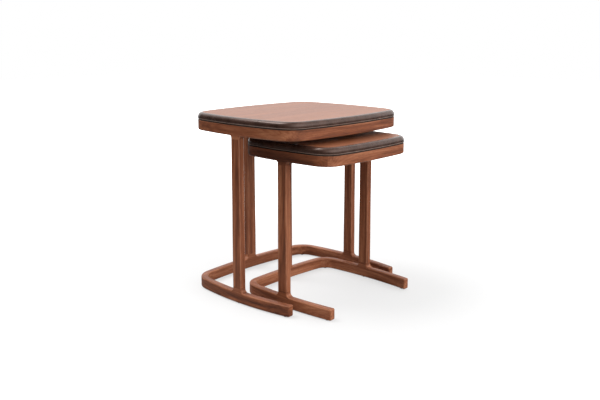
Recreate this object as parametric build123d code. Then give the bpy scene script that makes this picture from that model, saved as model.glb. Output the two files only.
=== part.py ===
from build123d import *
import math
import os
from dataclasses import dataclass

# A set of two nesting tables. Each has a bowed square top with a leather-wrapped edge on a solid
# wood rim, three posts, and a U-shaped runner that lies on the floor and is open towards +X, so
# that the small table slides out of the large one along +X.
# Millimetres, +Z up. The origin is on the floor, under the middle of the set as it stands.


@dataclass
class Table:
    """The sizes in which the two tables differ."""

    name: str
    length: float  # over the top, along the slide direction X
    width: float  # over the top, along Y
    height: float  # floor to the top surface
    bow: float  # how far each side swells past the corners
    corner_radius: float  # plan radius of the outer corners
    arm_reach: float  # from the table's middle to the runner's open ends
    centre_x: float = 0.0


LARGE = Table("large", 418.0, 480.0, 500.0, 24.0, 62.0, 178.0)
SMALL = Table("small", 326.0, 358.0, 438.0, 11.0, 52.0, 162.0)
PULLED_OUT = 109.0  # how far the small table's middle stands ahead of the large one's

# Solid wood bars: runner, posts and rim share one width, so their faces are flush.
BAR_WIDTH = 19.0
RUNNER_HEIGHT = 30.0
POST_LENGTH = 32.0  # the post's section, along the bar that it stands on
POST_FORWARD = 3.0  # how far the side posts stand ahead of the table's middle
RIM_HEIGHT = 28.0
EDGE_RADIUS = 4.0
RIM_TOP_RADIUS = 1.2
FOOT_FILLET = 10.0  # where a post grows out of the runner
HEAD_FILLET = 6.0  # where a post grows into the rim
STUB = 3.0  # straight length of post left on the runner and the rim, past the fillets

# Felt glides under the runner
GLIDE_MARGIN = 0.5  # from a glide's rim to the edge of the runner's flat underside
GLIDE_RADIUS = BAR_WIDTH / 2 - EDGE_RADIUS - GLIDE_MARGIN
GLIDE_THICKNESS = 2.0
GLIDE_SETBACK = 16.0  # from the runner's open ends

# Loose tenons join the posts, and splines join the mitres. Both are hidden in the bars.
TENON_COVER = 5.5  # wood left around a tenon in a post's section
TENON_LENGTH = POST_LENGTH - 2 * TENON_COVER
TENON_THICKNESS = BAR_WIDTH - 2 * TENON_COVER
TENON_DEPTH = 17.0  # on each side of the joint
SPLINE_COVER = 5.0  # wood left beside a spline
SPLINE_LENGTH = 18.0
SPLINE_DEPTH = BAR_WIDTH - 2 * SPLINE_COVER
SPLINE_THICKNESS = 5.0

# Top: a panel let into the rim, a dark spacer that makes the shadow line, and the edged board
RABBET_WIDTH = 8.0
PANEL_THICKNESS = 9.0
SPACER_THICKNESS = 2.0
SPACER_SETBACK = 5.0
BOARD_THICKNESS = 18.0
BOARD_EDGE_RADIUS = 11.0
LEATHER_THICKNESS = 1.2
LEATHER_FLAT = 2.0  # between the rounding and the seam with the top panel
LEATHER_BORDER = BOARD_EDGE_RADIUS + LEATHER_FLAT
TOP_PANEL_THICKNESS = 2.0
WELT_HEIGHT = 2.6
WELT_WIDTH = 3.0
WELT_RADIUS = 1.2

# Countersunk screws hold the board down, through the panel and the spacer.
SCREW_LENGTH = 20.0
SCREW_RADIUS = 2.0
SCREW_HEAD_RADIUS = 4.0
SCREW_HEAD_HEIGHT = 2.5
SCREW_POINT_LENGTH = 4.0
SCREW_SETBACK = 75.0  # from the sides' middles, along X and Y
DRIVE_RADIUS = 1.6
DRIVE_DEPTH = 1.5

OVER = 1.0  # how far a cutter stands past what it cuts
FAR = 1000.0  # past everything
NEAR = 0.1  # how closely an edge is matched to a height
SMOOTH_TURN = 15.0  # degrees; faces that meet at less than this form one smooth run

SMALL.centre_x = PULLED_OUT
MIDDLE_X = (SMALL.centre_x + SMALL.length / 2 - LARGE.length / 2) / 2
for table in (LARGE, SMALL):
    table.centre_x -= MIDDLE_X

RUNNER_TOP = GLIDE_THICKNESS + RUNNER_HEIGHT
FOOT_JOINT = RUNNER_TOP + FOOT_FILLET + STUB


# ---- Outline: four bowed sides and four corner arcs, each tangent to the next ----


@dataclass
class Plan:
    """The arcs of one outline. It is symmetric, so its +X and +Y sides and one corner say it all."""

    side_x: float  # centre of the +X side's arc, on the X axis
    radius_x: float
    side_y: float  # centre of the +Y side's arc, on the Y axis
    radius_y: float
    corner_x: float
    corner_y: float
    corner_radius: float
    start: float  # angles at which the corner arc starts and ends
    end: float


def plan_of(table):
    """Works out the arcs about the table's middle, with each corner tangent to both its sides."""
    half_x, half_y, bow = table.length / 2, table.width / 2, table.bow
    radius_x = (half_y**2 + bow**2) / (2 * bow)
    radius_y = (half_x**2 + bow**2) / (2 * bow)
    side_x, side_y = half_x - radius_x, half_y - radius_y
    reach_x, reach_y = radius_x - table.corner_radius, radius_y - table.corner_radius
    apart = math.hypot(side_x, side_y)
    along = (apart**2 + reach_x**2 - reach_y**2) / (2 * apart)
    across = math.sqrt(reach_x**2 - along**2)
    corner_x = side_x - (along * side_x + across * side_y) / apart
    corner_y = (along * side_y - across * side_x) / apart
    start = math.atan2(corner_y, corner_x - side_x)
    end = math.atan2(corner_y - side_y, corner_x)
    return Plan(
        side_x, radius_x, side_y, radius_y, corner_x, corner_y, table.corner_radius, start, end
    )


def arc(x, y, radius, start, end):
    """An arc about a centre, from one angle to another."""
    angles = (start, (start + end) / 2, end)
    return ThreePointArc(*[(x + radius * math.cos(a), y + radius * math.sin(a)) for a in angles])


def back_arcs(plan, inset):
    """The two back corners with the back side between them, in order from +Y to -Y."""
    radius = plan.corner_radius - inset
    start, end = plan.start, plan.end
    return [
        arc(-plan.corner_x, plan.corner_y, radius, math.pi - end, math.pi - start),
        arc(-plan.side_x, 0, plan.radius_x - inset, math.pi - start, math.pi + start),
        arc(-plan.corner_x, -plan.corner_y, radius, math.pi + start, math.pi + end),
    ]


def outline(table, inset):
    """The face inside the table's outline, drawn in by inset, about the table's middle."""
    plan = plan_of(table)
    radius = plan.radius_y - inset
    back = back_arcs(plan, inset)
    near = arc(0, -plan.side_y, radius, math.pi + plan.end, 2 * math.pi - plan.end)
    front = [edge.mirror(Plane.YZ) for edge in reversed(back)]
    far = arc(0, plan.side_y, radius, plan.end, math.pi - plan.end)
    return Face(Wire([*back, near, *front, far], sequenced=True))


def runner_face(table):
    """The U: the outline's back, with both long sides run on along their arcs to the open ends."""
    plan = plan_of(table)
    chains, ends = [], []
    for inset in (0, BAR_WIDTH):
        radius = plan.radius_y - inset
        last = math.acos(table.arm_reach / radius)
        far = arc(0, plan.side_y, radius, last, math.pi - plan.end)
        near = arc(0, -plan.side_y, radius, math.pi + plan.end, 2 * math.pi - last)
        chains += [far, *back_arcs(plan, inset), near]
        ends.append(plan.side_y + radius * math.sin(last))
    caps = [Line((table.arm_reach, s * ends[0]), (table.arm_reach, s * ends[1])) for s in (1, -1)]
    return Face(Wire([*chains, *caps], sequenced=True))


def prism(table, face, low, high):
    """A face about the table's middle, stood in its place and drawn up between two heights."""
    return Pos(table.centre_x, 0, low) * extrude(face, high - low, dir=(0, 0, 1))


def slab(table, inset, low, high):
    """The whole outline, drawn in by inset, between two heights."""
    return prism(table, outline(table, inset), low, high)


def ring(table, outer, inner, low, high):
    """What lies between two insets of the outline, between two heights."""
    return slab(table, outer, low, high) - slab(table, inner, low - OVER, high + OVER)


def block(x, y, z):
    """A box between two limits on each axis."""
    sizes = [high - low for low, high in (x, y, z)]
    middles = [(high + low) / 2 for low, high in (x, y, z)]
    return Pos(*middles) * Box(*sizes)


def round_edges(edges, radius):
    """Fillets edges of one solid, and stops if what comes back isn't one sound solid."""
    rounded = fillet(ShapeList(edges), radius)
    solids = rounded.solids()
    assert len(solids) == 1 and rounded.is_valid, "a fillet failed"
    return solids[0]


# ---- Wood frame: runner, posts and rim, shaped as one and cut at the real joints ----


def rim_levels(table):
    """Heights of the rim's underside and top, and of the joints at the posts' heads."""
    rim_top = table.height - BOARD_THICKNESS - SPACER_THICKNESS
    rim_low = rim_top - RIM_HEIGHT
    return rim_low, rim_top, rim_low - HEAD_FILLET - STUB


def post_window(table, side):
    """The column of space that one post's section lies in."""
    half = POST_LENGTH / 2
    middle = table.centre_x + POST_FORWARD
    across = (middle - half, middle + half)
    if side == "back":
        return block((table.centre_x - FAR, table.centre_x), (-half, half), (-FAR, FAR))
    return block(across, (0, FAR) if side == "right" else (-FAR, 0), (-FAR, FAR))


def cross_edges(part, table, height):
    """The straight edges where the posts' cut faces stand on a bar, at one height."""
    reach = POST_LENGTH / 2 + OVER

    def at_post(edge):
        middle = edge.center()
        beside = abs(middle.X - table.centre_x - POST_FORWARD) < reach
        behind = abs(middle.Y) < reach and middle.X < table.centre_x
        return abs(middle.Z - height) < NEAR and (beside or behind)

    return [edge for edge in part.edges().filter_by(GeomType.LINE) if at_post(edge)]


def sharp_edges(part):
    """The edges whose two faces meet at a marked angle, not in a smooth run."""
    faces_of = {}
    for face in part.faces():
        for edge in face.edges():
            faces_of.setdefault(edge, []).append(face)

    def turn(edge, faces):
        normals = [face.normal_at(edge.position_at(0.5)) for face in faces]
        return normals[0].get_angle(normals[-1])

    return [edge for edge, faces in faces_of.items() if turn(edge, faces) > SMOOTH_TURN]


def wood_frame(table):
    """Runner, posts and rim in one, with the fillets that blend them and eased edges."""
    rim_low, rim_top, _ = rim_levels(table)
    frame = prism(table, runner_face(table), GLIDE_THICKNESS, RUNNER_TOP)
    column = ring(table, 0, BAR_WIDTH, RUNNER_TOP - OVER, rim_low + OVER)
    for side in ("left", "right", "back"):
        frame += column & post_window(table, side)
    frame += ring(table, 0, BAR_WIDTH, rim_low, rim_top)
    frame = frame.solids()[0]
    frame = round_edges(cross_edges(frame, table, RUNNER_TOP), FOOT_FILLET)
    frame = round_edges(cross_edges(frame, table, rim_low), HEAD_FILLET)
    top = rim_top - NEAR
    frame = round_edges([e for e in sharp_edges(frame) if e.center().Z < top], EDGE_RADIUS)
    return round_edges([e for e in sharp_edges(frame) if e.center().Z > top], RIM_TOP_RADIUS)


def corner_wedge(table, front):
    """The space in front of, or behind, both mitres: it opens out from the corners' centres."""
    plan = plan_of(table)
    middle = (plan.start + plan.end) / 2
    x = plan.corner_x + FAR * math.cos(middle)
    y = plan.corner_y + FAR * math.sin(middle)
    points = [(plan.corner_x, plan.corner_y), (x, y), (x, -y), (plan.corner_x, -plan.corner_y)]
    if not front:
        points = [(-px, py) for px, py in points]
    face = make_face(Polyline(*points, close=True))
    return Pos(table.centre_x, 0, -FAR) * extrude(face, 2 * FAR, dir=(0, 0, 1))


def bar_middle(table, x):
    """The point on a long side's centreline at that distance ahead of the table's middle."""
    plan = plan_of(table)
    radius = plan.radius_y - BAR_WIDTH / 2
    return x, plan.side_y + math.sqrt(radius**2 - x**2)


def corner_middle(table):
    """The point on the bar's centreline at the +X +Y corner, and the mitre's angle in degrees."""
    plan = plan_of(table)
    middle = (plan.start + plan.end) / 2
    radius = plan.corner_radius - BAR_WIDTH / 2
    x = plan.corner_x + radius * math.cos(middle)
    return x, plan.corner_y + radius * math.sin(middle), math.degrees(middle)


def splines(table, corners, height):
    """Tongues across the mitres at those corners, each given by the signs of its X and Y."""
    x, y, angle = corner_middle(table)
    tongue = Box(SPLINE_DEPTH, SPLINE_LENGTH, SPLINE_THICKNESS)
    return [
        Pos(table.centre_x + sx * x, sy * y, height) * Rot(0, 0, sx * sy * angle) * tongue
        for sx, sy in corners
    ]


def tenons(table, height):
    """A loose tenon in each post's joint at one height, its long side along the bar."""
    peg = extrude(SlotOverall(TENON_LENGTH, TENON_THICKNESS), TENON_DEPTH, both=True)
    side_x, side_y = bar_middle(table, POST_FORWARD)
    back_x = table.centre_x - table.length / 2 + BAR_WIDTH / 2
    sides = [Pos(table.centre_x + side_x, sign * side_y, height) * peg for sign in (-1, 1)]
    return [*sides, Pos(back_x, 0, height) * Rot(0, 0, 90) * peg]


def glides(table):
    """Felt discs under the open ends, under the side posts and under the back corners."""
    corner_x, corner_y, _ = corner_middle(table)
    spots = [bar_middle(table, x) for x in (table.arm_reach - GLIDE_SETBACK, POST_FORWARD)]
    spots.append((-corner_x, corner_y))
    disc = Cylinder(GLIDE_RADIUS, GLIDE_THICKNESS)
    height = GLIDE_THICKNESS / 2
    return [Pos(table.centre_x + x, s * y, height) * disc for x, y in spots for s in (-1, 1)]


def halves(part):
    """The pieces of a part on the -Y and +Y sides."""
    left = part & block((-FAR, FAR), (-FAR, 0), (-FAR, FAR))
    right = part & block((-FAR, FAR), (0, FAR), (-FAR, FAR))
    return left, right


def frame_nodes(table):
    """The wood frame cut at its joints: runner and rim at mitres, posts above and below fillets."""
    rim_low, rim_top, head_joint = rim_levels(table)
    frame = wood_frame(table)
    rabbet = slab(table, BAR_WIDTH - RABBET_WIDTH, rim_top - PANEL_THICKNESS, rim_top + OVER)
    frame = frame - rabbet
    back_corners = [(-1, -1), (-1, 1)]
    runner_splines = splines(table, back_corners, GLIDE_THICKNESS + RUNNER_HEIGHT / 2)
    ledge_middle = rim_low + (RIM_HEIGHT - PANEL_THICKNESS) / 2
    rail_splines = splines(table, [*back_corners, (1, -1), (1, 1)], ledge_middle)
    lower_tenons, upper_tenons = tenons(table, FOOT_JOINT), tenons(table, head_joint)
    for inner in (*runner_splines, *rail_splines, *lower_tenons, *upper_tenons):
        frame = frame - inner
    everywhere = (-FAR, FAR)
    runner = frame & block(everywhere, everywhere, (0, FOOT_JOINT))
    posts = frame & block(everywhere, everywhere, (FOOT_JOINT, head_joint))
    rim = frame & block(everywhere, everywhere, (head_joint, FAR))
    behind, ahead = corner_wedge(table, False), corner_wedge(table, True)
    nodes = {
        "back_runner": runner & behind,
        "runner_splines": runner_splines,
        "lower_tenons": lower_tenons,
        "upper_tenons": upper_tenons,
        "back_rail": rim & behind,
        "front_rail": rim & ahead,
        "rail_splines": rail_splines,
        "felt_glides": glides(table),
    }
    nodes["left_runner"], nodes["right_runner"] = halves(runner - behind)
    nodes["left_rail"], nodes["right_rail"] = halves(rim - behind - ahead)
    for side in ("left", "right", "back"):
        nodes[side + "_post"] = posts & post_window(table, side)
    return nodes


# ---- Top: panel, spacer, edged board, leather, welt and screws ----


def edged_slab(table, inset, low, high, radius, lower_too=False):
    """A slab with a rounded upper edge, or with both edges rounded."""
    part = slab(table, inset, low, high).solids()[0]
    flats = part.faces().filter_by(Plane.XY).sort_by(Axis.Z)
    chosen = flats if lower_too else flats[-1:]
    return round_edges([edge for face in chosen for edge in face.edges()], radius)


def screw():
    """A countersunk wood screw that points up, its head's flat face at height 0."""
    point_low = SCREW_LENGTH - SCREW_POINT_LENGTH
    profile = [
        (0, 0),
        (SCREW_HEAD_RADIUS, 0),
        (SCREW_RADIUS, SCREW_HEAD_HEIGHT),
        (SCREW_RADIUS, point_low),
        (0, SCREW_LENGTH),
    ]
    return revolve(make_face(Plane.XZ * Polyline(*profile, close=True)), Axis.Z)


def screw_places(table, height):
    """Where the four screws' heads are."""
    x = table.length / 2 - SCREW_SETBACK
    y = table.width / 2 - SCREW_SETBACK
    return [Pos(table.centre_x + sx * x, sy * y, height) for sx in (-1, 1) for sy in (-1, 1)]


def top_nodes(table):
    """The pieces above the wood frame, and the panel that is let into the rim."""
    _, rim_top, _ = rim_levels(table)
    board_low = rim_top + SPACER_THICKNESS
    panel_low = rim_top - PANEL_THICKNESS
    leather_low = board_low + WELT_HEIGHT
    recess_low = table.height - TOP_PANEL_THICKNESS
    form_top = table.height - LEATHER_THICKNESS
    form_radius = BOARD_EDGE_RADIUS - LEATHER_THICKNESS
    form = edged_slab(table, LEATHER_THICKNESS, board_low, form_top, form_radius)
    skin = edged_slab(table, 0, leather_low, table.height, BOARD_EDGE_RADIUS)
    opening = slab(table, LEATHER_BORDER, recess_low, table.height + OVER)
    welt_seat = ring(table, -OVER, WELT_WIDTH, board_low - OVER, leather_low)
    welt = edged_slab(table, 0, board_low, leather_low, WELT_RADIUS, lower_too=True)
    panel = slab(table, BAR_WIDTH - RABBET_WIDTH, panel_low, rim_top)
    spacer = slab(table, SPACER_SETBACK, rim_top, board_low)
    core = form - opening - welt_seat
    drive = extrude(RegularPolygon(DRIVE_RADIUS, 6), DRIVE_DEPTH)
    places = screw_places(table, panel_low)
    for place in places:
        hole = place * screw()
        panel, spacer, core = panel - hole, spacer - hole, core - hole
    return {
        "frame_panel": panel,
        "shadow_spacer": spacer,
        "top_core": core,
        "leather_edge": skin - form - opening,
        "leather_welt": welt - slab(table, WELT_WIDTH, board_low - OVER, leather_low + OVER),
        "top_panel": slab(table, LEATHER_BORDER, recess_low, table.height),
        "top_screws": [place * (screw() - drive) for place in places],
    }


# ---- Write one file per piece ----

os.makedirs("parts", exist_ok=True)
for table in (LARGE, SMALL):
    for node, made in {**frame_nodes(table), **top_nodes(table)}.items():
        solids = [s for part in (made if isinstance(made, list) else [made]) for s in part.solids()]
        whole = solids[0] if len(solids) == 1 else Compound(children=solids)
        export_step(whole, f"parts/{table.name}_{node}.step")
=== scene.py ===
import math

import bmesh
import bpy
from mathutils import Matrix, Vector


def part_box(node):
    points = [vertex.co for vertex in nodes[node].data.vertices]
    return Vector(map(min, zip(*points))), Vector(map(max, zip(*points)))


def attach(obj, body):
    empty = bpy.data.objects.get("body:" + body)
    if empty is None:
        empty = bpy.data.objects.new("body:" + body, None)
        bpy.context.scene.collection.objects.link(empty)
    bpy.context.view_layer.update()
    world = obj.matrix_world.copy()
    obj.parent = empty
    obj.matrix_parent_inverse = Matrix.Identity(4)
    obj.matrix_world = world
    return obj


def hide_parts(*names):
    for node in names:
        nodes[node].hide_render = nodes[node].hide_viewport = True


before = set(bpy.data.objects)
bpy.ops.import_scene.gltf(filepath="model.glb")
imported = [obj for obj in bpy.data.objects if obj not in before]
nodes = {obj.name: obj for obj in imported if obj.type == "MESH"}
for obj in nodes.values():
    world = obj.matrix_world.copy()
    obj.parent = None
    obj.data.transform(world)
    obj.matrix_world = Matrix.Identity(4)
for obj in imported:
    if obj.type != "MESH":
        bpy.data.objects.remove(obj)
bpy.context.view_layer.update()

TABLES = ("large", "small")


# Runners, posts and rails are solid walnut, oiled and hand-eased along every edge. The fibres run
# along each bar, so a rail and the post under it run different ways. Posts stand on loose tenons,
# corners are splined mitres, and the rim's upper side under the shadow line is black, as painted
# shade. The long edges are lighter, partly from wear and partly as a painted highlight.


class Wire:
    """An output of a shader node. Sums written with wires add the Math nodes that do them."""

    def __init__(self, graph, socket):
        self.graph = graph
        self.socket = socket

    def math(self, operation, *values):
        return self.graph.node("Math", {"operation": operation}, dict(enumerate(values)))

    def __add__(self, other):
        return self.math("ADD", self, other)

    def __radd__(self, other):
        return self.math("ADD", other, self)

    def __sub__(self, other):
        return self.math("SUBTRACT", self, other)

    def __rsub__(self, other):
        return self.math("SUBTRACT", other, self)

    def __mul__(self, other):
        return self.math("MULTIPLY", self, other)

    def __abs__(self):
        return self.math("ABSOLUTE", self)

    def sine(self):
        return self.math("SINE", self)

    def least(self, other):
        return self.math("MINIMUM", self, other)

    def between(self, low, high):
        """0 below low, 1 above high, and a smooth rise from one to the other."""
        settings = {"interpolation_type": "SMOOTHSTEP"}
        return self.graph.node("MapRange", settings, {0: self, 1: low, 2: high})


class Graph:
    """A node tree being made. node() adds any node and gives one of its outputs as a Wire."""

    def __init__(self, tree):
        self.tree = tree

    def node(self, kind, settings, sockets, output=0):
        made = self.tree.nodes.new("ShaderNode" + kind)
        for name, value in settings.items():
            if name == "stops":
                self.set_stops(made.color_ramp.elements, value)
            else:
                setattr(made, name, value)
        for name, value in sockets.items():
            self.feed(made.inputs[name], value)
        return Wire(self, made.outputs[output])

    def set_stops(self, elements, stops):
        while len(elements) < len(stops):
            elements.new(1.0)
        for element, (position, colour) in zip(elements, stops):
            element.position = position
            element.color = (*colour, 1.0)

    def feed(self, socket, value):
        if isinstance(value, Wire):
            self.tree.links.new(value.socket, socket)
        else:
            socket.default_value = value

    def place(self):
        """Where a point of the piece is in the row frame, in metres."""
        return self.node("TexCoord", {}, {}, "Object")

    def facing(self):
        """How much of the surface's direction is along X, Y and Z, each from 0 to 1."""
        outward = self.node("TexCoord", {}, {}, "Normal")
        parts = [self.node("SeparateXYZ", {}, {0: outward}, axis) for axis in "XYZ"]
        return [abs(part) for part in parts]

    def stretched(self, vector, factors):
        return self.node("VectorMath", {"operation": "MULTIPLY"}, {0: vector, 1: factors})

    def noise(self, vector, scale, detail=2.0, roughness=0.5, distortion=0.0):
        sockets = {"Vector": vector, "Scale": scale, "Detail": detail}
        sockets |= {"Roughness": roughness, "Distortion": distortion}
        return self.node("TexNoise", {}, sockets)

    def tint(self, factor, first, second):
        """Goes from the first colour to the second as factor goes from 0 to 1."""
        settings = {"data_type": "RGBA"}
        return self.node("Mix", settings, {0: factor, 6: first, 7: second}, 2)


class Finish(Graph):
    """A material, given its even values at once and its varying ones socket by socket."""

    def __init__(self, name, **even):
        self.material = bpy.data.materials.new(name)
        self.material.use_nodes = True
        super().__init__(self.material.node_tree)
        self.surface = self.tree.nodes["Principled BSDF"]
        for socket, value in even.items():
            self.surface.inputs[socket.replace("_", " ")].default_value = value

    def varies(self, socket, value):
        self.feed(self.surface.inputs[socket], value)

    def relief(self, height, depth):
        """Raises the surface by the height, 0 to 1, times a depth in metres."""
        sockets = {"Strength": 1.0, "Distance": depth, "Height": height}
        self.varies("Normal", self.node("Bump", {}, sockets))


WALNUT_DARK = (0.055, 0.0150, 0.0070)
WALNUT_BROWN = (0.225, 0.0710, 0.0300)
WALNUT_PALE = (0.480, 0.1950, 0.0980)
WALNUT_PORE = (0.050, 0.0150, 0.0070, 1.0)
# The next colour lightens the long edges: partly wear, partly a painted highlight.
WALNUT_RUBBED_HIGHLIT = (0.520, 0.2400, 0.1400, 1.0)
# The next colour is painted shade: the black of the shadow line, laid on the rim's top.
PAINTED_SHADE_BLACK = (0.006, 0.0040, 0.0030, 1.0)
SHADE_PAINT_FROM, SHADE_PAINT_FULL = 0.0008, 0.0003  # how far below the rim's top the painted shade starts and is full
FIBRE_STRETCH = 0.05  # how much slower the figure changes along the fibres than across them


def walnut(name, along, seed, stops, worn=0.0, painted_shade=None, **even):
    """Walnut with its fibres along one axis, and its figure taken from anywhere in the log.

    Its long edges can be lighter, partly from wear and partly as a painted highlight, and above the
    given height it is black, as painted shade.
    """
    wood = Finish(name, **even)
    factors = [FIBRE_STRETCH if axis == along else 1.0 for axis in "XYZ"]
    fibres = wood.stretched(wood.place(), factors)
    offset = (seed * 0.37, seed * 0.61, seed * 0.83)
    fibres = wood.node("VectorMath", {"operation": "ADD"}, {0: fibres, 1: offset})
    streaks = wood.noise(fibres, 70.0, 3.0, 0.55, 0.4)
    log = wood.noise(fibres, 16.0, 1.0, 0.4, 0.2)
    rings = (log * 190.0).sine() * 0.5 + 0.5
    strands = wood.noise(fibres, 420.0, 2.0, 0.6)
    pores = wood.noise(fibres, 1100.0, 1.0, 0.5).between(0.60, 0.72)
    mottle = wood.noise(wood.stretched(fibres, (3.0, 3.0, 3.0)), 5.5, 2.0, 0.55)
    figure = streaks * 0.46 + mottle * 0.36 + rings * 0.04 + strands * 0.14
    colour = wood.node("ValToRGB", {"stops": stops}, {0: figure})
    colour = wood.tint(pores * 0.55, colour, WALNUT_PORE)
    if worn:
        # Lighter long edges: partly wear, partly a painted highlight.
        colour = wood.tint(rubbed_and_highlit_edges(wood, along) * worn, colour, WALNUT_RUBBED_HIGHLIT)
    # Near the rim's top the wood turns black: painted shade for the shadow line.
    if painted_shade:
        height = wood.node("SeparateXYZ", {}, {0: wood.place()}, "Z")
        black = height.between(painted_shade - SHADE_PAINT_FROM, painted_shade - SHADE_PAINT_FULL)
        colour = wood.tint(black, colour, PAINTED_SHADE_BLACK)
    wood.varies("Base Color", colour)
    wood.varies("Roughness", 0.40 + strands * 0.14 + pores * 0.15)
    wood.relief(strands * 0.4 - pores * 0.6, 0.00006)
    return wood.material


def rubbed_and_highlit_edges(wood, along):
    """1 on a bar's long edges, where hands and cloths have rubbed the oil thin and a highlight is
    painted, and 0 on its faces.
    """
    x, y, z = wood.facing()
    edge = x.least(y) if along == "Z" else z.least(1.0 - z * z)
    patches = wood.noise(wood.place(), 60.0, 3.0, 0.6).between(0.25, 0.75)
    return edge.between(0.15, 0.65) * (0.35 + patches * 0.65)


def dress(node, material):
    """Gives a CAD piece its material in place of the plain one."""
    nodes[node].data.materials.clear()
    nodes[node].data.materials.append(material)


FRAME_STOPS = [(0.34, WALNUT_DARK), (0.50, WALNUT_BROWN), (0.70, WALNUT_PALE)]
BARS = {
    "Z": ("left_post", "right_post", "back_post"),
    "X": ("left_runner", "right_runner", "left_rail", "right_rail"),
    "Y": ("back_runner", "back_rail", "front_rail"),
}
# How much lighter the long edges are: wear and painted highlight together.
EDGE_WEAR_AND_HIGHLIGHT = 0.4
for order, table in enumerate(TABLES):
    rim_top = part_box(f"{table}_front_rail")[1][2]
    for seed, (along, bars) in enumerate(BARS.items()):
        look = (along, seed + order * len(BARS), FRAME_STOPS, EDGE_WEAR_AND_HIGHLIGHT, rim_top)
        frame_walnut = walnut(f"{table}_walnut_{along}", *look, Specular_IOR_Level=0.2)
        for bar in bars:
            dress(f"{table}_{bar}", frame_walnut)


# Loose tenons and splines are beech, planed to size and glued across the joints, where they can't
# be seen.


def beech(name):
    wood = Finish(name, Roughness=0.6)
    grain = wood.noise(wood.stretched(wood.place(), (1.0, 1.0, 0.08)), 300.0, 2.0)
    stops = [(0.3, (0.42, 0.26, 0.14)), (0.7, (0.62, 0.42, 0.26))]
    wood.varies("Base Color", wood.node("ValToRGB", {"stops": stops}, {0: grain}))
    wood.relief(grain, 0.0001)
    return wood.material


joint_beech = beech("joint_beech")
for table in TABLES:
    for joinery in ("runner_splines", "lower_tenons", "upper_tenons", "rail_splines"):
        dress(f"{table}_{joinery}", joint_beech)


# Six discs of pressed wool felt are glued under each runner, so that it slides without marks.

FELT = (0.055, 0.040, 0.032, 1.0)
FELT_PALE = (0.120, 0.095, 0.080, 1.0)


def felt(name):
    wool = Finish(name, Roughness=0.95, Sheen_Weight=0.4, Sheen_Roughness=0.6)
    fluff = wool.noise(wool.place(), 2500.0, 4.0, 0.7, 1.5)
    wool.varies("Base Color", wool.tint(fluff, FELT, FELT_PALE))
    wool.relief(fluff, 0.0004)
    return wool.material


def add_piece(name, shape, table, stands_for, material):
    """Adds a piece that rides on a table and is shown in place of one of its CAD nodes."""
    mesh = bpy.data.meshes.new(name)
    bmesh.ops.recalc_face_normals(shape, faces=shape.faces)
    shape.to_mesh(mesh)
    shape.free()
    mesh.shade_smooth()
    mesh.set_sharp_from_angle(angle=math.radians(35))
    mesh.materials.append(material)
    piece = bpy.data.objects.new(name, mesh)
    bpy.context.scene.collection.objects.link(piece)
    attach(piece, f"{table}_table")
    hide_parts(f"{table}_{stands_for}")


FELT_ROUNDING = 0.0006
FELT_SEGMENTS = 3


def felt_discs(node):
    """The glides with their cut rims worn round, as pressed felt is after a few moves."""
    shape = bmesh.new()
    shape.from_mesh(nodes[node].data)
    bmesh.ops.remove_doubles(shape, verts=shape.verts, dist=0.00001)
    flat = math.radians(1)
    bmesh.ops.dissolve_limit(shape, angle_limit=flat, verts=shape.verts, edges=shape.edges)
    rims = [edge for edge in shape.edges if edge.calc_face_angle(0.0) > math.radians(60)]
    bmesh.ops.bevel(
        shape, geom=rims, offset=FELT_ROUNDING, segments=FELT_SEGMENTS, profile=0.5, affect="EDGES"
    )
    return shape


glide_felt = felt("glide_felt")
for table in TABLES:
    discs = felt_discs(f"{table}_felt_glides")
    add_piece(f"{table}_glide_discs", discs, table, "felt_glides", glide_felt)


# A sheet of walnut-faced plywood is let into each rim from above, and a spacer lies on it, coloured
# black as painted shade. The spacer is set back, and leaves the fine shadow line under the board.

for table in TABLES:
    dress(f"{table}_frame_panel", walnut(f"{table}_panel_veneer", "Y", 5, FRAME_STOPS))


# A black board finish: painted shade that darkens the shadow line.
def painted_shade(name):
    board = Finish(name, Roughness=0.7)
    grain = board.noise(board.stretched(board.place(), (0.1, 1.0, 1.0)), 400.0, 2.0)
    stops = [(0.3, (0.004, 0.003, 0.003)), (0.8, (0.016, 0.012, 0.010))]
    board.varies("Base Color", board.node("ValToRGB", {"stops": stops}, {0: grain}))
    return board.material


shadow_black = painted_shade("shadow_black")
for table in TABLES:
    dress(f"{table}_shadow_spacer", shadow_black)


# The board is plywood, shaped with a bullnose. Its plies show only where the leather doesn't
# reach, underneath.


def plywood(name):
    plies = Finish(name, Roughness=0.6)
    grain = plies.noise(plies.stretched(plies.place(), (1.0, 0.1, 1.0)), 200.0, 3.0)
    stops = [(0.3, (0.38, 0.25, 0.14)), (0.7, (0.58, 0.42, 0.27))]
    plies.varies("Base Color", plies.node("ValToRGB", {"stops": stops}, {0: grain}))
    return plies.material


board_plywood = plywood("board_plywood")
for table in TABLES:
    dress(f"{table}_top_core", board_plywood)


# Saddle leather is wrapped over the bullnose, pared thin where it meets the top panel, and turned
# under at the bottom. A burnished leather welt runs all round below it, above the shadow line.

LEATHER = (0.036, 0.0165, 0.0110, 1.0)
LEATHER_WORN = (0.074, 0.0360, 0.0260, 1.0)
# The next colour is painted shade, in the creases of the grain.
LEATHER_CREASE_SHADE = (0.020, 0.0100, 0.0075, 1.0)
WAXED = (1.0, 0.78, 0.70, 1.0)
WELT = (0.130, 0.0850, 0.0650, 1.0)
WELT_WORN = (0.210, 0.1450, 0.1150, 1.0)


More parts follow.
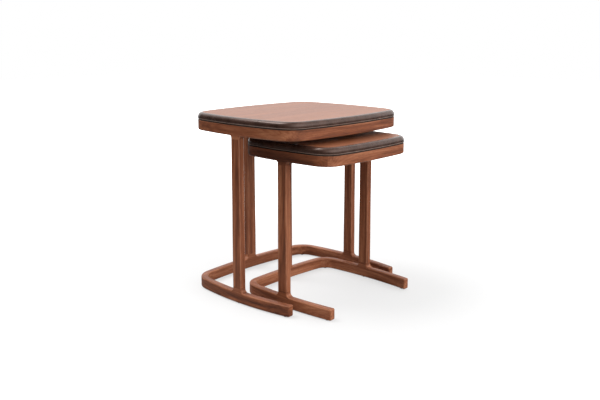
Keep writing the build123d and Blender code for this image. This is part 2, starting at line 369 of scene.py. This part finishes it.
def leather(name, deep, worn, roughness):
    """Full-grain leather: pebbles with creases between them, darkened as painted shade, and a tone that
    drifts in clouds.
    """
    hide = Finish(name, Specular_IOR_Level=0.5, Specular_Tint=WAXED)
    place = hide.place()
    bent = hide.noise(place, 500.0, 2.0, 0.5)
    spots = {"Vector": place, "Scale": 850.0, "Randomness": 0.9}
    pebbles = hide.node("TexVoronoi", {"feature": "DISTANCE_TO_EDGE"}, spots)
    rounded = (pebbles + bent * 0.06).between(0.02, 0.22)
    clouds = hide.noise(place, 30.0, 3.0, 0.6)
    colour = hide.tint(clouds.between(0.3, 0.8), deep, worn)
    # The creases between the pebbles are darkened: painted shade.
    hide.varies("Base Color", hide.tint((1.0 - rounded) * 0.45, colour, LEATHER_CREASE_SHADE))
    hide.varies("Roughness", roughness + clouds * 0.1 - rounded * 0.05)
    hide.relief(rounded * 0.7 + clouds * 0.3, 0.00003)
    return hide.material


# How each board's outline is bowed and rounded, as (bow of a side, radius of a corner).
BOARD_FORM = {"large": (0.024, 0.062), "small": (0.011, 0.052)}
OUTLINE_STEP = math.radians(1.2)


def arc(centre_x, centre_y, radius, start, end, step):
    """Points along an arc, as (x, y, angle), both ends included."""
    count = max(1, round(abs(end - start) / step))
    angles = [start + (end - start) * turn / count for turn in range(count + 1)]
    return [(centre_x + radius * math.cos(a), centre_y + radius * math.sin(a), a) for a in angles]


def outline(table):
    """Points all round a board with the outward direction at each, as (x, y, out_x, out_y)."""
    low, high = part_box(f"{table}_leather_edge")
    half_x, half_y = (high[0] - low[0]) / 2, (high[1] - low[1]) / 2
    bow, corner = BOARD_FORM[table]
    front_radius = (half_y**2 + bow**2) / (2 * bow)
    side_radius = (half_x**2 + bow**2) / (2 * bow)
    behind, beside = front_radius - half_x, side_radius - half_y
    apart = math.hypot(behind, beside)
    front_reach, side_reach = front_radius - corner, side_radius - corner
    along = (front_reach**2 - side_reach**2 + apart**2) / (2 * apart)
    across = math.sqrt(front_reach**2 - along**2)
    corner_x = (along * behind + across * beside) / apart - behind
    corner_y = (across * behind - along * beside) / apart
    front_end = math.atan2(corner_y, corner_x + behind)
    side_start = math.atan2(corner_y + beside, corner_x)
    quarter = arc(-behind, 0.0, front_radius, 0.0, front_end, OUTLINE_STEP / 8)[:-1]
    quarter += arc(corner_x, corner_y, corner, front_end, side_start, OUTLINE_STEP * 2)[:-1]
    quarter += arc(0.0, -beside, side_radius, side_start, math.pi / 2, OUTLINE_STEP / 8)
    points = []
    for sign_x, sign_y, order in ((1, 1, 1), (-1, 1, -1), (-1, -1, 1), (1, -1, -1)):
        for x, y, angle in quarter[::order][:-1]:
            place = (low[0] + half_x + sign_x * x, low[1] + half_y + sign_y * y)
            points.append((*place, sign_x * math.cos(angle), sign_y * math.sin(angle)))
    return points


def band(table, section):
    """A closed band all round a board. Its section is points (in from the outline, up from the top)."""
    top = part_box(f"{table}_leather_edge")[1][2]
    shape = bmesh.new()
    cuts = []
    for x, y, out_x, out_y in outline(table):
        corners = [(x - out_x * inward, y - out_y * inward, top + up) for inward, up in section]
        cuts.append([shape.verts.new(corner) for corner in corners])
    for near, far in zip(cuts, cuts[1:] + cuts[:1]):
        for turn in range(len(section)):
            shape.faces.new((near[turn - 1], near[turn], far[turn], far[turn - 1]))
    return shape


HIDE = 0.0012
BULLNOSE = 0.011
BORDER = 0.013
PARED = 0.0005
TURNED_UNDER = 0.0007
WRAP_LOW = -0.0154
SECTION_STEP = math.radians(8)
UP, OUT, DOWN = math.pi / 2, math.pi, math.pi * 1.5
wrap_section = [(BORDER, -HIDE)]
wrap_section += [p[:2] for p in arc(BORDER - PARED, -PARED, PARED, 0.0, UP, SECTION_STEP * 3)]
wrap_section += [p[:2] for p in arc(BULLNOSE, -BULLNOSE, BULLNOSE, UP, OUT, SECTION_STEP)]
under = (TURNED_UNDER, WRAP_LOW + TURNED_UNDER, TURNED_UNDER)
wrap_section += [p[:2] for p in arc(*under, OUT, DOWN, SECTION_STEP * 3)]
wrap_section += [(HIDE, WRAP_LOW)]
inside = (BULLNOSE, -BULLNOSE, BULLNOSE - HIDE)
wrap_section += [p[:2] for p in arc(*inside, OUT, UP, SECTION_STEP * 2)]

WELT_ROUND = 0.0013
WELT_PROUD = 0.0003
WELT_WIDTH = 0.003
BOARD_LOW = -0.018
welt_round = (WELT_ROUND - WELT_PROUD, BOARD_LOW + WELT_ROUND, WELT_ROUND)
welt_section = [(WELT_WIDTH, BOARD_LOW), (WELT_WIDTH, WRAP_LOW)]
welt_section += [p[:2] for p in arc(*welt_round, UP, DOWN, SECTION_STEP * 2)]

edge_leather = leather("edge_leather", LEATHER, LEATHER_WORN, 0.24)
welt_leather = leather("welt_leather", WELT, WELT_WORN, 0.32)
for table in TABLES:
    wrap = band(table, wrap_section)
    add_piece(f"{table}_edge_wrap", wrap, table, "leather_edge", edge_leather)
    roll = band(table, welt_section)
    add_piece(f"{table}_welt_roll", roll, table, "leather_welt", welt_leather)


# The top panel is walnut veneer under a matt lacquer, set flush with the leather around it.

TOP_STOPS = [
    (0.30, (0.140, 0.042, 0.013)),
    (0.50, (0.225, 0.066, 0.020)),
    (0.72, (0.310, 0.105, 0.038)),
]
for table in TABLES:
    veneer = walnut(f"{table}_top_walnut", "Y", 9, TOP_STOPS, Specular_IOR_Level=0.7)
    dress(f"{table}_top_panel", veneer)


# Zinc-plated countersunk screws hold each board down from underneath.


def zinc(name):
    plate = Finish(name, Metallic=1.0)
    haze = plate.noise(plate.place(), 700.0, 3.0, 0.6)
    plate.varies("Base Color", plate.tint(haze, (0.55, 0.53, 0.48, 1.0), (0.72, 0.70, 0.66, 1.0)))
    plate.varies("Roughness", 0.28 + haze * 0.2)
    return plate.material


screw_zinc = zinc("screw_zinc")
for table in TABLES:
    dress(f"{table}_top_screws", screw_zinc)


# The set stands on a plain pale floor in soft studio light: a big softbox high up behind, others low
# in front, on the right and behind. The left is dim. Only the floor near the set is lit as it
# looks, so that the bright sweep round it neither haloes the wood nor greys the leather.

FLOOR_REACH = 9.0
FLOOR_WHITE = (0.36, 0.36, 0.36, 1.0)
FLOOR_DIM = (0.06, 0.06, 0.06, 1.0)
LIT_REACH = (0.5, 1.3)
SWEEP_GLOW = 2.38
SWEEP_SHARE = 0.25

floor_mesh = bpy.data.meshes.new("floor")
grid = bmesh.new()
bmesh.ops.create_grid(grid, x_segments=8, y_segments=8, size=FLOOR_REACH)
grid.to_mesh(floor_mesh)
grid.free()
floor = bpy.data.objects.new("floor", floor_mesh)
bpy.context.scene.collection.objects.link(floor)
sweep = Finish("sweep", Roughness=0.9, Specular_IOR_Level=0.1)
distance = sweep.node("VectorMath", {"operation": "LENGTH"}, {0: sweep.place()}, 1)
far_off = distance.between(*LIT_REACH)
sweep.varies("Base Color", sweep.tint(far_off, FLOOR_WHITE, FLOOR_DIM))
lit = sweep.node("Emission", {}, {"Strength": SWEEP_GLOW})
seen = sweep.node("LightPath", {}, {}, "Is Camera Ray")
matt = Wire(sweep, sweep.surface.outputs[0])
share = SWEEP_SHARE + far_off * (1.0 - SWEEP_SHARE)
shown = sweep.node("MixShader", {}, {0: seen * share, 1: matt, 2: lit})
sweep.feed(sweep.tree.nodes["Material Output"].inputs["Surface"], shown)
floor_mesh.materials.append(sweep.material)

OVERHEAD_FROM = Vector((-0.42, -0.26, 0.87))
OVERHEAD_STRENGTH = 2.1
OVERHEAD_SPREAD = math.radians(32)
overhead = bpy.data.lights.new("overhead", "SUN")
overhead.energy = OVERHEAD_STRENGTH
overhead.angle = OVERHEAD_SPREAD
overhead_light = bpy.data.objects.new("overhead", overhead)
overhead_light.rotation_euler = OVERHEAD_FROM.to_track_quat("Z", "Y").to_euler()
bpy.context.scene.collection.objects.link(overhead_light)

SOFTBOXES = (
    ((0.82, 0.52, 0.15), 0.30, 0.95, 1.45),
    ((-0.67, 0.73, 0.10), 0.30, 0.95, 1.45),
    ((-0.15, -0.20, 1.00), 0.30, 0.98, 0.80),
    ((0.98, -0.12, 0.10), 0.50, 0.97, 2.10),
)
world = bpy.data.worlds.new("studio")
world.use_nodes = True
bpy.context.scene.world = world
studio = Graph(world.node_tree)
way = studio.node("TexCoord", {}, {}, "Generated")
glow = 0.0
for middle, edge, centre, strength in SOFTBOXES:
    aim = tuple(Vector(middle).normalized())
    nearness = studio.node("VectorMath", {"operation": "DOT_PRODUCT"}, {0: way, 1: aim}, 1)
    glow = nearness.between(edge, centre) * strength + glow
seen = studio.node("LightPath", {}, {}, "Is Camera Ray")
background = world.node_tree.nodes["Background"]
studio.feed(background.inputs["Strength"], seen + (1 - seen) * glow)
studio.feed(background.inputs["Color"], (1.0, 1.0, 1.0, 1.0))

CAMERA_PLACE = (1.4044, -1.5240, 0.7235)
CAMERA_HEADING = math.radians(133.1)
CAMERA_DIP = math.radians(9.12)
CAMERA_LENS = 45.0
CAMERA_SHIFT = -0.0833
lens = bpy.data.cameras.new("camera")
lens.lens = CAMERA_LENS
lens.shift_y = CAMERA_SHIFT
camera = bpy.data.objects.new("camera", lens)
camera.location = CAMERA_PLACE
camera.rotation_euler = (math.pi / 2 - CAMERA_DIP, 0.0, CAMERA_HEADING - math.pi / 2)
bpy.context.scene.collection.objects.link(camera)
bpy.context.scene.camera = camera
bpy.context.scene.view_settings.view_transform = "Standard"
